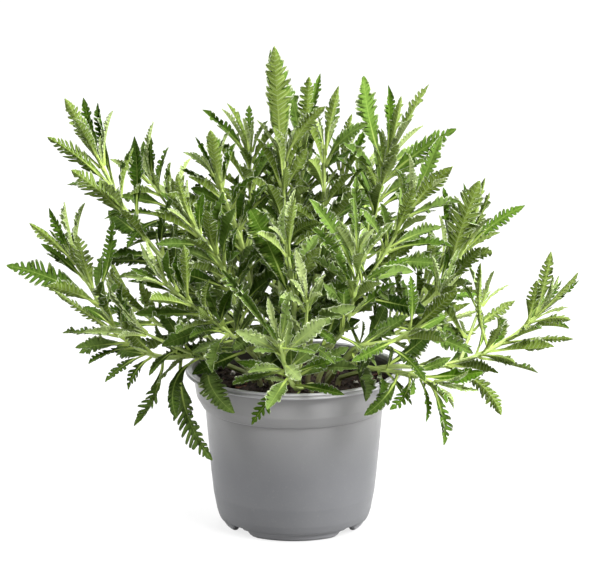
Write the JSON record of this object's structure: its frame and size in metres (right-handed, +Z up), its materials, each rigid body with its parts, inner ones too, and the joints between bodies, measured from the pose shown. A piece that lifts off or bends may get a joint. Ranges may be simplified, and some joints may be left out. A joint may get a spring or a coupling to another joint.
{
  "type": "potted lavender",
  "caption": "Bushy young lavender with narrow toothed grey-green leaves on upright and spreading shoots, growing in peat in a plain round tapered plastic nursery pot.",
  "frame": {"origin": "middle of the pot's foot, on the surface it stands on", "axes": "+Z up, -Y towards the side that the plant is seen from, +X along its widest spread"},
  "size_m": [0.3391, 0.2124, 0.294],
  "materials": {
    "pot": "satin moulded polypropylene",
    "soil": "loose crumbly peat",
    "leaf": "finely felted living leaf"
  },
  "bodies": {
    "root": {"pot": "pot", "soil": "soil", "stem_far_left": "leaf", "stem_upper_left": "leaf", "stem_left_mid": "leaf", "stem_mid_left": "leaf", "stem_top_left": "leaf", "stem_top_right": "leaf", "stem_upper_right": "leaf", "stem_right": "leaf", "stem_front_mid": "leaf", "stem_front_low": "leaf", "stem_front_right": "leaf", "stem_far_right": "leaf", "stem_back_left": "leaf", "stem_back_left_low": "leaf", "stem_back_mid": "leaf", "stem_back_low": "leaf", "stem_back_right": "leaf", "stem_back_right_low": "leaf"}
  },
  "joints": []
}
